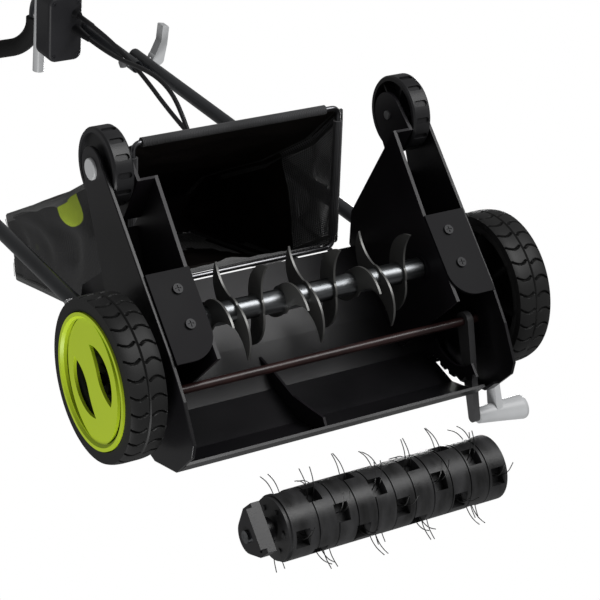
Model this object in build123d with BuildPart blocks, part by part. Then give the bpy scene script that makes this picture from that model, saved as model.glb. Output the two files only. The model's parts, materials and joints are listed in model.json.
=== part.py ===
from build123d import *
import math
import os

os.makedirs("parts", exist_ok=True)

# Frame: +Z up from the ground, -Y is the front (nose), +X is the machine's left side. The machine stands
# on its four wheels. All sizes are in millimetres. Side-view points are (distance behind the front axle,
# height above the ground).

# ---------------------------------------------------------------- driving dimensions
AXLE_Y = -267.2            # front axle, from the middle of the whole object
TYRE_R = 90.0              # also the height of the front axle
WHEEL_IN = 222.0           # inner face of each front wheel, from the middle plane
WHEEL_OUT = 268.0
HUB_R = 74.0
STUB_R = 6.0
REAR_Y = 214.0             # rear axle, behind the front axle
REAR_R = 44.0
REAR_IN = 177.5            # rear wheel, between the tongue and the cheek
REAR_OUT = 200.5
REAR_PIN_R = 5.0
ROD = (-35.0, 75.0)        # height-adjust rod
ROD_R = 5.0
ROTOR = (34.0, 65.0)       # rotor axis
SHAFT_R = 9.0
BLADE_R = 57.0
BLADE_COUNT = 9
BLADE_PITCH = 30.7
BLADE_FIRST = 126.0        # leftmost blade, from the middle plane
BLADE_T = 2.5
PHASE_STEP = 60.0
INNER_X = 150.0            # inner walls of the side pods
INNER_T = 4.0
TONGUE_X = 171.0           # inner support of each rear wheel
TONGUE_T = 4.0
CHEEK_X = 202.0            # side cheeks
CHEEK_T = 4.0
POD_Z = 22.0               # lower edge of the side pods
MOTOR = (20.0, 214.0)      # motor axis
MOTOR_R = 33.0
MOTOR_SHAFT_R = 6.0
SMALL_PULLEY_R = 13.0
LARGE_PULLEY_R = 28.0
BELT_IN = 162.0
BELT_W = 11.0
HANDLE_X = 204.0           # lower handle tubes
UPPER_X = 185.5            # upper handle legs, inboard of the lower tubes
TUBE_R = 9.0
TUBE_WALL = 1.6
HANDLE_TILT = 42.15        # slope of the handle above the ground
PIVOT = (104.0, 184.15)    # lower handle pivot
LOWER_L = 636.9
UPPER_L = 310.0            # from the middle joint to the raised loop
LOOP_RISE = 86.0           # rise of the loop, square to the legs
LOOP_R = 38.0              # bend radius of its corners
BOLT_R = 4.0
BAG_LOW = (246.0, 76.0)    # lower rod of the bag mouth
BAG_TOP = (121.0, 198.0)   # upper rail of the bag mouth
BAG_HALF = 133.0
WIRE_R = 3.0
DRUM = (-204.0, 64.0)      # spare tine cylinder, standing in front of the nose
DRUM_LEFT = 136.0
DRUM_RIGHT = -136.0
DRUM_R = 36.0
TINE_TIP_R = 61.0
TINE_STATIONS = 11
CABLE_R = 3.2
FIT = 0.05                 # radial clearance of a shaft in its hole
GAP = 0.3                  # gap between separate faces


def side(x):
    """Side-view plane at x: its own X is the distance behind the front axle, its own Y is height."""
    return Plane(origin=(x, AXLE_Y, 0), x_dir=(0, 1, 0), z_dir=(1, 0, 0))


def tilt(angle):
    """Unit vector in the side view, at an angle above the rearward horizontal."""
    return (math.cos(math.radians(angle)), math.sin(math.radians(angle)))


ALONG = tilt(HANDLE_TILT)
ACROSS = tilt(HANDLE_TILT + 90)


def on_handle(along, across):
    """Side-view point: along the handle from its middle joint, and square to it towards the front."""
    return (
        PIVOT[0] + (LOWER_L + along) * ALONG[0] + across * ACROSS[0],
        PIVOT[1] + (LOWER_L + along) * ALONG[1] + across * ACROSS[1],
    )


def at(x, point):
    """Side-view point at x, in the part's own frame."""
    return (x, AXLE_Y + point[0], point[1])


def handle_plane(x, along, across):
    """Plane square to the handle: its own X is the machine's right, its own Y is across the handle."""
    return Plane(origin=at(x, on_handle(along, across)), x_dir=(-1, 0, 0), z_dir=(0, ALONG[0], ALONG[1]))


def polygon(*points):
    """Adds a straight-sided outline to the sketch being made."""
    Polygon(*points, align=None)


def mirrored(shape):
    """The shape together with its mirror image on the machine's other side."""
    return Compound(children=[*shape.solids(), *shape.mirror(Plane.YZ).solids()])


def other_side(shape):
    return Compound(children=list(shape.mirror(Plane.YZ).solids()))


def save(shape, label):
    shape.label = label
    export_step(shape, f"parts/{label}.step")


# ---------------------------------------------------------------- deck, walls and covers
LEVER_X = -187.0
ROOF = [(-114, 77), (-114, 98), (-88, 138), (-38, 166), (20, 176), (60, 180)]
ROOF_UNDER = [(60, 177), (20, 173), (-37, 163), (-86, 135.6), (-111, 97), (-111, 77)]

with BuildPart() as deck_shell:
    with BuildSketch(side(-CHEEK_X)):
        polygon(*ROOF, *ROOF_UNDER)
    extrude(amount=2 * CHEEK_X)
    with BuildSketch(side(-INNER_X - INNER_T)):
        polygon((59, 180), (113, 190), (113, 187), (59, 177))
    extrude(amount=2 * (INNER_X + INNER_T))
    for pod_x in (-CHEEK_X, INNER_X + INNER_T):
        with BuildSketch(side(pod_x)):
            polygon((59, 180), (80, 172), (104, 118), (160, 96), (159, 93), (102, 115), (78, 169), (59, 177))
        extrude(amount=CHEEK_X - INNER_X - INNER_T)
    # slot of the depth lever, and the way through for the belt
    with Locations((LEVER_X, AXLE_Y - 88, 115)):
        Box(12, 66, 90, mode=Mode.SUBTRACT)
    with Locations((BELT_IN + BELT_W / 2, AXLE_Y + 28, 175)):
        Box(BELT_W + 8, 84, 30, mode=Mode.SUBTRACT)
save(deck_shell.part, "deck_shell")


def make_inner_wall():
    with BuildPart() as wall:
        with BuildSketch(side(INNER_X)):
            polygon((-25, POD_Z), (79, POD_Z), (183, 15), (146, 157), (117, 187), (60, 176), (20, 172),
                    (-25, 164.5))
        extrude(amount=INNER_T)
        with BuildSketch(side(INNER_X + INNER_T)):
            polygon((183, 15), (166, 80.2), (163, 79.5), (180, 14.4))
        extrude(amount=TONGUE_X - INNER_X - INNER_T)
        with BuildSketch(side(TONGUE_X)):
            polygon((180, 14.4), (214, 18), (214, 70), (163, 79.5))
            with Locations((REAR_Y, REAR_R)):
                Circle(26)
        extrude(amount=TONGUE_T)
        with BuildSketch(side(TONGUE_X)):
            with Locations((REAR_Y, REAR_R)):
                Circle(REAR_PIN_R + FIT)
        extrude(amount=TONGUE_T, mode=Mode.SUBTRACT)
        with BuildSketch(side(INNER_X)):
            with Locations(ROTOR):
                Circle(16 + FIT)
        extrude(amount=INNER_T, mode=Mode.SUBTRACT)
    return wall.part


def make_cheek():
    with BuildPart() as cheek:
        with BuildSketch(side(CHEEK_X)):
            polygon((-113, 52), (-104, 39), (-60, 27), (-10, POD_Z), (80, POD_Z), (159, 21), (207, 21),
                    (223, 66), (102, 113), (80, 168), (60, 176), (20, 176), (-38, 166), (-88, 138),
                    (-114, 98))
            with Locations((REAR_Y, REAR_R)):
                Circle(24)
            with Locations(ROD, (REAR_Y, REAR_R)):
                Circle(ROD_R + FIT, mode=Mode.SUBTRACT)
        extrude(amount=CHEEK_T)
        fillet(cheek.faces().sort_by(Axis.X)[-1].outer_wire().edges(), 1.2)
    return cheek.part


inner_wall = make_inner_wall()
save(mirrored(inner_wall), "inner_walls")
cheek_shape = make_cheek()
save(mirrored(cheek_shape), "side_cheeks")


def make_pod_cover():
    with BuildPart() as cover:
        with BuildSketch(Plane.XY.offset(POD_Z - 3.2)):
            with BuildLine():
                Polyline((INNER_X, AXLE_Y + 79), (INNER_X, AXLE_Y + 8))
                ThreePointArc((INNER_X, AXLE_Y + 8), (160, AXLE_Y - 14), (182, AXLE_Y - 22))
                Polyline((182, AXLE_Y - 22), (CHEEK_X - 0.5, AXLE_Y - 22), (CHEEK_X - 0.5, AXLE_Y + 79),
                         (INNER_X, AXLE_Y + 79))
            make_face()
        extrude(amount=3)
        with Locations(*[Location((172, AXLE_Y + y, POD_Z - 3.2)) for y in (17, 57)]):
            Hole(2.5)
    return cover.part


pod_cover = make_pod_cover()
save(mirrored(pod_cover), "pod_bottom_covers")

with BuildPart() as cover_screws:
    for screw_y in (17, 57):
        with Locations((172, AXLE_Y + screw_y, POD_Z - 4.6)):
            Cylinder(5.5, 2.4, align=(Align.CENTER, Align.CENTER, Align.CENTER))
        with Locations((172, AXLE_Y + screw_y, POD_Z + 4)):
            Cylinder(2.4, 15.2)
        with Locations((172, AXLE_Y + screw_y, POD_Z - 5.4)):
            Box(1.2, 7, 1.2, mode=Mode.SUBTRACT)
            Box(7, 1.2, 1.2, mode=Mode.SUBTRACT)

with BuildPart() as centre_rib:
    with BuildSketch(side(24)):
        polygon((-110, 84), (-110.6, 96.8), (-85.6, 135), (-36.8, 162.2), (4, 169.6), (-22, 150), (-58, 128),
                (-86, 98), (-100, 82))
    extrude(amount=3)
save(centre_rib.part, "centre_rib")

with BuildPart() as depth_quadrant:
    with BuildSketch(side(-176)):
        with Locations(ROD):
            Circle(66)
            Circle(50, mode=Mode.SUBTRACT)
        with Locations((ROD[0] + 50, ROD[1])):
            Rectangle(100, 200, mode=Mode.SUBTRACT)
        with Locations((ROD[0], ROD[1] - 60)):
            Rectangle(200, 120, mode=Mode.SUBTRACT)
        with Locations(ROD):
            with PolarLocations(66, 5, start_angle=112, angular_range=64, endpoint=True):
                Circle(4, mode=Mode.SUBTRACT)
        with Locations((-45, 145)):
            Rectangle(9, 20)
    extrude(amount=3)
save(depth_quadrant.part, "depth_quadrant")

# ---------------------------------------------------------------- motor, belt and their covers
with BuildPart() as motor_cover:
    with BuildSketch(side(-120)) as cover_side:
        polygon((-72, 159.6), (-66, 214), (-30, 258), (40, 262), (72, 246), (86, 215), (91, 187), (60, 180.4),
                (20, 176.4), (-38, 166.4), (-60, 154.2))
        fillet(cover_side.vertices().group_by(Axis.Y)[-1], 20)
    extrude(amount=269.6)
    fillet(motor_cover.faces().sort_by(Axis.X)[0].edges().filter_by(lambda e: e.center().Z > 185), 14)
    with BuildSketch(side(-116)):
        polygon((-63, 150), (-62, 213), (-28, 254), (39, 258), (69, 243), (82, 214), (87, 180), (60, 170),
                (-50, 150))
    extrude(amount=262.6, mode=Mode.SUBTRACT)
    with BuildSketch(side(-130)):
        with Locations(MOTOR):
            with GridLocations(17, 0, 5, 1):
                SlotOverall(34, 6, rotation=90)
    extrude(amount=30, mode=Mode.SUBTRACT)
    with BuildSketch(side(140)):
        with Locations(MOTOR):
            Circle(9)
    extrude(amount=12, mode=Mode.SUBTRACT)
save(motor_cover.part, "motor_cover")

with BuildPart() as belt_housing:
    with BuildSketch(side(INNER_X)) as housing_side:
        polygon((-14, 170.6), (-14, 237), (50, 237), (58, 180.2), (20, 176.4))
        fillet(housing_side.vertices().group_by(Axis.Y)[-1], 14)
    extrude(amount=35)
    fillet(belt_housing.faces().sort_by(Axis.X)[-1].edges().filter_by(lambda e: e.center().Z > 185), 5)
    with BuildSketch(side(INNER_X + 3)) as housing_hollow:
        polygon((-11, 160), (-11, 234), (48, 234), (55, 160))
        fillet(housing_hollow.vertices().group_by(Axis.Y)[-1], 11)
    extrude(amount=29, mode=Mode.SUBTRACT)
    with BuildSketch(side(INNER_X - 1)):
        with Locations(MOTOR):
            Circle(9)
    extrude(amount=6, mode=Mode.SUBTRACT)
save(belt_housing.part, "belt_housing")

with BuildPart() as motor_body:
    with BuildSketch(side(-60)):
        with Locations(MOTOR):
            Circle(MOTOR_R)
    extrude(amount=170)
    with BuildSketch(side(60)):
        with Locations(MOTOR):
            Circle(MOTOR_SHAFT_R + FIT)
    extrude(amount=50, mode=Mode.SUBTRACT)
save(motor_body.part, "motor_body")

with BuildPart() as motor_shaft:
    with BuildSketch(side(61)):
        with Locations(MOTOR):
            Circle(MOTOR_SHAFT_R)
    extrude(amount=117)
save(motor_shaft.part, "motor_shaft")


def make_pulley(centre, radius, bore):
    with BuildPart() as pulley:
        with BuildSketch(side(BELT_IN - 2)):
            with Locations(centre):
                Circle(radius + 2)
                Circle(bore + FIT, mode=Mode.SUBTRACT)
        extrude(amount=BELT_W + 4)
        with BuildSketch(side(BELT_IN)):
            with Locations(centre):
                Circle(radius + 3)
                Circle(radius - 0.4, mode=Mode.SUBTRACT)
        extrude(amount=BELT_W, mode=Mode.SUBTRACT)
    return pulley.part


save(make_pulley(MOTOR, SMALL_PULLEY_R, MOTOR_SHAFT_R), "motor_pulley")
save(make_pulley(ROTOR, LARGE_PULLEY_R, SHAFT_R), "rotor_pulley")

with BuildPart() as drive_belt:
    for extra, mode in ((2.6, Mode.ADD), (0.0, Mode.SUBTRACT)):
        with BuildSketch(side(BELT_IN + 0.5)):
            with Locations(MOTOR):
                Circle(SMALL_PULLEY_R + extra)
            with Locations(ROTOR):
                Circle(LARGE_PULLEY_R + extra)
            make_hull()
        extrude(amount=BELT_W - 1, mode=mode)
save(drive_belt.part, "drive_belt")

with BuildPart() as carry_handle:
    with BuildLine() as grip_line:
        FilletPolyline(at(-70, (0, 262.3)), at(-70, (0, 290)), at(70, (0, 290)), at(70, (0, 262.3)),
                       radius=18)
    with BuildSketch(Plane(origin=grip_line.line @ 0, z_dir=grip_line.line % 0)):
        Circle(7)
    sweep()
save(carry_handle.part, "carry_handle")

# ---------------------------------------------------------------- rotor
with BuildPart() as rotor_shaft:
    with BuildSketch(side(-168)):
        with Locations(ROTOR):
            Circle(SHAFT_R)
    extrude(amount=346)
save(rotor_shaft.part, "rotor_shaft")


def blade_outline(angle):
    """Two-armed S-shaped blade about the rotor axis, turned by an angle."""
    with BuildSketch(Plane.XY, mode=Mode.PRIVATE) as arm:
        with BuildLine():
            ThreePointArc((-6, 12), (28, 21), (BLADE_R - 0.5, -4))
            ThreePointArc((BLADE_R - 0.5, -4), (32, -1), (10, -11))
            Line((10, -11), (-6, 12))
        make_face()
    for turn in (angle, angle + 180):
        add(arm.sketch, rotation=turn)
    Circle(16)
    Circle(SHAFT_R + FIT, mode=Mode.SUBTRACT)


blade_x = [BLADE_FIRST - BLADE_PITCH * i for i in range(BLADE_COUNT)]
blades = []
for i, x in enumerate(blade_x):
    with BuildPart() as blade:
        with BuildSketch(Plane(origin=at(x - BLADE_T / 2, ROTOR), x_dir=(0, 1, 0), z_dir=(1, 0, 0))):
            blade_outline(PHASE_STEP * (2 - (i + 1) % 3))
        extrude(amount=BLADE_T)
    blades += list(blade.part.solids())
save(Compound(children=blades), "rotor_blades")

spacers = []
for left, right in zip([147.0] + blade_x, blade_x + [-147.0]):
    spacer_l = left - right - BLADE_T - 2 * FIT
    if left == 147.0 or right == -147.0:
        spacer_l = left - right - BLADE_T / 2 - 2 * FIT
    start = right + BLADE_T / 2 + FIT if right != -147.0 else right + FIT
    with BuildPart() as spacer:
        with BuildSketch(side(start)):
            with Locations(ROTOR):
                Circle(12.5)
                Circle(SHAFT_R + FIT, mode=Mode.SUBTRACT)
        extrude(amount=spacer_l)
    spacers += list(spacer.part.solids())
save(Compound(children=spacers), "blade_spacers")

with BuildPart() as left_bearing:
    with BuildSketch(side(147.5)):
        with Locations(ROTOR):
            Circle(16)
            Circle(SHAFT_R + FIT, mode=Mode.SUBTRACT)
    extrude(amount=10)
save(left_bearing.part, "left_bearing")

with BuildPart() as right_bearing:
    with BuildSketch(side(-162)):
        with Locations(ROTOR):
            Circle(16)
    extrude(amount=14)
    with BuildSketch(side(-162)):
        with Locations(ROTOR):
            Rectangle(64, 40)
    extrude(amount=8 - GAP)
    with BuildSketch(side(-162)):
        with Locations(ROTOR):
            Circle(SHAFT_R + FIT)
        with Locations((ROTOR[0] - 24, ROTOR[1]), (ROTOR[0] + 24, ROTOR[1])):
            Circle(3 + FIT)
    extrude(amount=20, mode=Mode.SUBTRACT)
    fillet(right_bearing.edges().filter_by(Axis.X).group_by(Axis.Z)[0], 6)
save(right_bearing.part, "right_bearing_block")

with BuildPart() as bearing_bolts:
    for bolt_y in (ROTOR[0] - 24, ROTOR[0] + 24):
        with BuildSketch(side(-167)):
            with Locations((bolt_y, ROTOR[1])):
                RegularPolygon(6, 6)
        extrude(amount=5)
        with BuildSketch(side(-162)):
            with Locations((bolt_y, ROTOR[1])):
                Circle(3)
        extrude(amount=7.6)
save(Compound(children=[*mirrored(cover_screws.part).solids(), *bearing_bolts.part.solids()]), "deck_screws")

# ---------------------------------------------------------------- height-adjust axle and front wheels
with BuildPart() as cross_rod:
    with BuildSketch(side(-217)):
        with Locations(ROD):
            Circle(ROD_R)
    extrude(amount=434)
save(cross_rod.part, "cross_rod")

with BuildPart() as crank:
    with BuildSketch(side(208)):
        with Locations(ROD):
            Circle(11)
        with Locations((0, TYRE_R)):
            Circle(12)
        make_hull()
        with Locations(ROD):
            Circle(ROD_R + FIT, mode=Mode.SUBTRACT)
    extrude(amount=8)
    with BuildSketch(side(216)):
        with Locations((0, TYRE_R)):
            Circle(STUB_R)
    extrude(amount=43)
save(mirrored(crank.part), "wheel_cranks")

KNOB = (-134.0, 129.0)
ARM_END = (-98.0, 110.0)   # free end of the knob's arm, outside the cheek
with BuildPart() as depth_lever:
    with BuildSketch(side(LEVER_X - 4)):
        with Locations(ROD):
            Circle(11)
        with Locations(KNOB):
            Circle(6)
        make_hull()
        with Locations(ROD):
            Circle(ROD_R + FIT, mode=Mode.SUBTRACT)
    extrude(amount=8)
    with BuildSketch(side(LEVER_X - 22)):
        with Locations(KNOB):
            Circle(5)
    extrude(amount=18)
save(depth_lever.part, "depth_lever")

with BuildPart() as lever_knob:
    with BuildSketch(Plane(origin=at(LEVER_X - 4 - GAP, KNOB), x_dir=(0, 1, 0), z_dir=(-1, 0, 0))):
        Ellipse(9, 8)
    with BuildSketch(Plane(origin=at(-222, (KNOB[0] - 1, KNOB[1])), x_dir=(0, 1, 0), z_dir=(-1, 0, 0))):
        Ellipse(12, 11)
    with BuildSketch(Plane(origin=at(-256, (KNOB[0] - 4, KNOB[1] - 3)), x_dir=(0, 1, 0), z_dir=(-1, 0, 0))):
        Ellipse(15, 12)
    loft()
    fillet(lever_knob.faces().sort_by(Axis.X)[0].edges(), 6)
    with BuildSketch(side(-221.5)):
        with Locations(KNOB):
            Circle(10)
        with Locations(ARM_END):
            Circle(7)
        make_hull()
    extrude(amount=8)
    with BuildSketch(side(LEVER_X - 23)):
        with Locations(KNOB):
            Circle(5 + FIT)
    extrude(amount=20, mode=Mode.SUBTRACT)
save(lever_knob.part, "lever_knob")


def make_front_tyre():
    """Black wheel with its tread, spokes and bore, about the front axle."""
    with BuildPart() as wheel:
        with BuildSketch(Plane.XY):
            with BuildLine():
                Polyline((WHEEL_IN + 3, 70), (WHEEL_IN + 1, 82), (WHEEL_IN + 5, 88), (WHEEL_IN + 12, TYRE_R),
                         (WHEEL_OUT - 12, TYRE_R), (WHEEL_OUT - 5, 88), (WHEEL_OUT - 1, 82),
                         (WHEEL_OUT - 1, 75), (WHEEL_OUT - 14, 75), (WHEEL_OUT - 14, 70),
                         (WHEEL_OUT - 18, 70), (WHEEL_OUT - 18, 16),
                         (WHEEL_OUT - 8, 16), (WHEEL_OUT - 8, STUB_R + FIT), (WHEEL_IN + 1, STUB_R + FIT),
                         (WHEEL_IN + 1, 16), (WHEEL_OUT - 22, 16), (WHEEL_OUT - 22, 70), close=True)
            make_face()
        revolve(axis=Axis.X)
        with BuildSketch(Plane.YZ.offset(WHEEL_IN)):
            with PolarLocations(43, 8):
                Circle(13)
        extrude(amount=WHEEL_OUT - WHEEL_IN, mode=Mode.SUBTRACT)
    return wheel.part.moved(Location(at(0, (0, TYRE_R))))


def make_hub_cover():
    """Green disc with a flat ring and a dished face, with two leaves and two crescents cut through it."""
    with BuildPart() as hub:
        with BuildSketch(Plane.XY):
            with BuildLine():
                Polyline((WHEEL_OUT - 6.5, 0), (WHEEL_OUT - 6.5, 68), (WHEEL_OUT - 13.5, 69),
                         (WHEEL_OUT - 13.5, HUB_R), (WHEEL_OUT, HUB_R), (WHEEL_OUT, 70),
                         (WHEEL_OUT - 3, 67.5), (WHEEL_OUT - 3, 0), close=True)
            make_face()
        revolve(axis=Axis.X)
        for turn in (0, 180):
            with BuildSketch(Plane.YZ.offset(WHEEL_OUT - 8).rotated((turn, 0, 0))):
                with BuildLine():
                    ThreePointArc((34, -22), (-3, -44), (-37, -22))
                    ThreePointArc((-37, -22), (-14, -14), (4, -17))
                    ThreePointArc((4, -17), (20, -21), (34, -22))
                make_face()
                with BuildLine():
                    ThreePointArc((46, -48), (-22, -62.8), (-64, 18))
                    ThreePointArc((-64, 18), (-25, -50), (46, -48))
                make_face()
            extrude(amount=8, mode=Mode.SUBTRACT)
    return hub.part.moved(Location(at(0, (0, TYRE_R))))


front_tyre = make_front_tyre()
save(front_tyre, "left_front_wheel")
save(other_side(front_tyre), "right_front_wheel")
hub_cover = make_hub_cover()
save(hub_cover, "left_hub_cover")
save(other_side(hub_cover), "right_hub_cover")

# ---------------------------------------------------------------- rear wheels
with BuildPart() as rear_wheel:
    with BuildSketch(Plane.XY):
        with BuildLine():
            Polyline((REAR_IN, 38), (REAR_IN, 42.5), (REAR_IN + 2, REAR_R), (REAR_OUT - 2, REAR_R),
                     (REAR_OUT, 42.5), (REAR_OUT, 38), (REAR_OUT - 4, 38), (REAR_OUT - 4, 11), (REAR_OUT, 11),
                     (REAR_OUT, REAR_PIN_R + FIT), (REAR_IN, REAR_PIN_R + FIT), (REAR_IN, 11),
                     (REAR_OUT - 7, 11), (REAR_OUT - 7, 38), close=True)
        make_face()
    revolve(axis=Axis.X)
    for i in range(14):
        turn = math.radians(360 / 14 * i)
        tread = ((REAR_IN + REAR_OUT) / 2, REAR_R * math.cos(turn), REAR_R * math.sin(turn))
        with BuildSketch(Plane(origin=tread, x_dir=(1, 0, 0), z_dir=(0, math.cos(turn), math.sin(turn)))):
            SlotOverall(REAR_OUT - REAR_IN - 6, 7)
        extrude(amount=-2.5, mode=Mode.SUBTRACT)
    with BuildSketch(Plane.YZ.offset(REAR_IN + 4)):
        with PolarLocations(24.5, 6):
            Rectangle(28, 2.5)
    extrude(amount=REAR_OUT - REAR_IN - 10)
rear_wheel_part = rear_wheel.part.moved(Location(at(0, (REAR_Y, REAR_R))))
save(rear_wheel_part, "left_rear_wheel")
save(other_side(rear_wheel_part), "right_rear_wheel")

with BuildPart() as rear_pins:
    with BuildSketch(side(TONGUE_X - 2)):
        with Locations((REAR_Y, REAR_R)):
            Circle(REAR_PIN_R)
    extrude(amount=CHEEK_X + CHEEK_T - TONGUE_X + 2)
save(mirrored(rear_pins.part), "rear_axle_pins")

with BuildPart() as axle_caps:
    with BuildSketch(side(CHEEK_X + CHEEK_T + 0.05)):
        with Locations((REAR_Y, REAR_R)):
            Circle(12)
    extrude(amount=3)
    fillet(axle_caps.faces().sort_by(Axis.X)[-1].edges(), 1.5)
save(mirrored(axle_caps.part), "rear_axle_caps")

# ---------------------------------------------------------------- discharge flap
FLAP_HINGE = (104.0, 203.0)
with BuildPart() as flap_lugs:
    with BuildSketch(side(130)):
        polygon((96, 187.4), (112, 190.4), (109, 203), (104, 208), (99, 203))
        with Locations(FLAP_HINGE):
            Circle(5)
            Circle(2.5 + FIT, mode=Mode.SUBTRACT)
    extrude(amount=4)

with BuildPart() as flap_pin:
    with BuildSketch(side(-135)):
        with Locations(FLAP_HINGE):
            Circle(2.5)
    extrude(amount=270)
save(Compound(children=[*mirrored(flap_lugs.part).solids(), *flap_pin.part.solids()]), "flap_hinge")

with BuildPart() as discharge_flap:
    with BuildSketch(side(-129)):
        with Locations(FLAP_HINGE):
            Circle(5)
        polygon((103, 205), (107, 205), (124.5, 302), (121.5, 303))
        with Locations(FLAP_HINGE):
            Circle(2.5 + FIT, mode=Mode.SUBTRACT)
    extrude(amount=258)
save(discharge_flap.part, "discharge_flap")

# ---------------------------------------------------------------- collection bag
with BuildPart() as bag_frame:
    with BuildLine() as mouth_line:
        FilletPolyline(at(-BAG_HALF, BAG_LOW), at(BAG_HALF, BAG_LOW), at(BAG_HALF, BAG_TOP),
                       at(-BAG_HALF, BAG_TOP), close=True, radius=9)
    with BuildSketch(Plane(origin=mouth_line.line @ 0, z_dir=mouth_line.line % 0)):
        Circle(WIRE_R)
    sweep()
save(bag_frame.part, "bag_frame")

MOUTH = (BAG_TOP[0] - BAG_LOW[0], BAG_TOP[1] - BAG_LOW[1])
MOUTH_L = math.hypot(*MOUTH)
MOUTH_DIR = (MOUTH[0] / MOUTH_L, MOUTH[1] / MOUTH_L)
with BuildPart() as bag_sleeves:
    with BuildSketch(side(-114)):
        with Locations(BAG_LOW):
            Circle(5.5)
            Circle(WIRE_R + FIT, mode=Mode.SUBTRACT)
    extrude(amount=237)
    for sleeve_x in (-BAG_HALF, BAG_HALF):
        start = (BAG_LOW[0] + 16 * MOUTH_DIR[0], BAG_LOW[1] + 16 * MOUTH_DIR[1])
        with BuildSketch(Plane(origin=at(sleeve_x, start), z_dir=(0, *MOUTH_DIR))):
            Circle(5.5)
            Circle(WIRE_R + FIT, mode=Mode.SUBTRACT)
        extrude(amount=MOUTH_L - 32)
save(bag_sleeves.part, "bag_sleeves")

BAG_SIDE = 147.0
BAG_OUTER = [(251, 82), (254, 165), (280, 282), (329, 438), (322, 474), (288, 508), (262, 500), (158, 345),
             (127, 204)]
BAG_INNER = [(251, 82), (250.9, 165.8), (277, 283), (325.6, 438), (319, 472), (287, 504.6), (264, 497.4),
             (160.8, 343.6), (130, 203.4)]
with BuildPart() as bag_fabric:
    with BuildSketch(side(-BAG_SIDE)):
        polygon(*BAG_OUTER)
    extrude(amount=2 * BAG_SIDE)
    with BuildSketch(side(-BAG_SIDE + 3)):
        polygon((249, 80), (247, 83), *BAG_INNER[1:-1], (130, 200), (120, 196))
    extrude(amount=2 * BAG_SIDE - 6, mode=Mode.SUBTRACT)
save(bag_fabric.part, "bag_fabric")

# ---------------------------------------------------------------- lower handle
with BuildPart() as handle_bracket:
    with BuildSketch(side(188)):
        polygon((62, 180.4), (81, 173), (105.4, 118.6), (125, 112), (136, 188), (124, 206), (90, 206),
                (62, 190))
        with Locations(PIVOT):
            Circle(BOLT_R + FIT, mode=Mode.SUBTRACT)
    extrude(amount=6)
save(mirrored(handle_bracket.part), "handle_brackets")

with BuildPart() as pivot_bolt:
    with BuildSketch(side(184)):
        with Locations(PIVOT):
            Circle(BOLT_R)
    extrude(amount=34)
    with BuildSketch(side(184)):
        with Locations(PIVOT):
            RegularPolygon(8, 6)
    extrude(amount=3.9)
    with BuildSketch(side(HANDLE_X + TUBE_R + 1)):
        with Locations(PIVOT):
            Circle(10)
            Rectangle(34, 8)
    extrude(amount=8)
save(mirrored(pivot_bolt.part), "pivot_bolts")

with BuildPart() as lower_tube:
    with BuildSketch(handle_plane(HANDLE_X, -LOWER_L - 11, 0)):
        Circle(TUBE_R)
        Circle(TUBE_R - TUBE_WALL, mode=Mode.SUBTRACT)
    extrude(amount=LOWER_L + 33)
    with BuildSketch(side(HANDLE_X - TUBE_R - 2)):
        with Locations(PIVOT, on_handle(0, 0)):
            Circle(BOLT_R + FIT)
    extrude(amount=2 * TUBE_R + 4, mode=Mode.SUBTRACT)
save(mirrored(lower_tube.part), "lower_handle_tubes")

# ---------------------------------------------------------------- upper handle
with BuildPart() as upper_handle:
    with BuildLine() as upper_line:
        FilletPolyline(at(UPPER_X, on_handle(-22, 0)), at(UPPER_X, on_handle(UPPER_L, 0)),
                       at(UPPER_X, on_handle(UPPER_L, LOOP_RISE)),
                       at(-UPPER_X, on_handle(UPPER_L, LOOP_RISE)),
                       at(-UPPER_X, on_handle(UPPER_L, 0)), at(-UPPER_X, on_handle(-22, 0)), radius=LOOP_R)
    with BuildSketch(handle_plane(UPPER_X, -22, 0)):
        Circle(TUBE_R)
        Circle(TUBE_R - TUBE_WALL, mode=Mode.SUBTRACT)
    sweep()
    for leg_x in (-UPPER_X, UPPER_X):
        with BuildSketch(side(leg_x - TUBE_R - 2)):
            with Locations(on_handle(0, 0)):
                Circle(BOLT_R + FIT)
        extrude(amount=2 * TUBE_R + 4, mode=Mode.SUBTRACT)
save(upper_handle.part, "upper_handle")

with BuildPart() as foam_grip:
    with BuildLine() as grip_path:
        FilletPolyline(at(UPPER_X, on_handle(UPPER_L, 42)), at(UPPER_X, on_handle(UPPER_L, LOOP_RISE)),
                       at(-UPPER_X, on_handle(UPPER_L, LOOP_RISE)), at(-UPPER_X, on_handle(UPPER_L, 42)),
                       radius=LOOP_R)
    with BuildSketch(Plane(origin=grip_path.line @ 0, z_dir=grip_path.line % 0)):
        Circle(13.5)
        Circle(TUBE_R + FIT, mode=Mode.SUBTRACT)
    sweep()
save(foam_grip.part, "foam_grip")

with BuildPart() as middle_bolt:
    with BuildSketch(side(172)):
        with Locations(on_handle(0, 0)):
            Circle(BOLT_R)
    extrude(amount=44.8)
    with BuildSketch(side(171)):
        with Locations(on_handle(0, 0)):
            RegularPolygon(8, 6)
    extrude(amount=5.2)
save(mirrored(middle_bolt.part), "middle_bolts")


def make_cam_lever():
    """Quick-release lever: an eye about its cross pin, and an arm that lies along the tube."""
    plane = Plane(origin=at(227, on_handle(-8, 0)), x_dir=(1, 0, 0), z_dir=(0, *ALONG))
    with BuildPart() as lever:
        with BuildSketch(plane):
            Circle(9)
            with BuildLine():
                Polyline((-8, 0), (9, 0), (13, 22), (15, 48), (5, 50), (3, 26), (-8, 2), close=True)
            make_face()
        extrude(amount=16)
        fillet(lever.faces().sort_by(Axis((0, 0, 0), (0, -ACROSS[0], -ACROSS[1])))[-1].edges(), 2)
    return lever.part


cam_lever = make_cam_lever()
save(cam_lever, "left_cam_lever")
save(other_side(cam_lever), "right_cam_lever")

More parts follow.
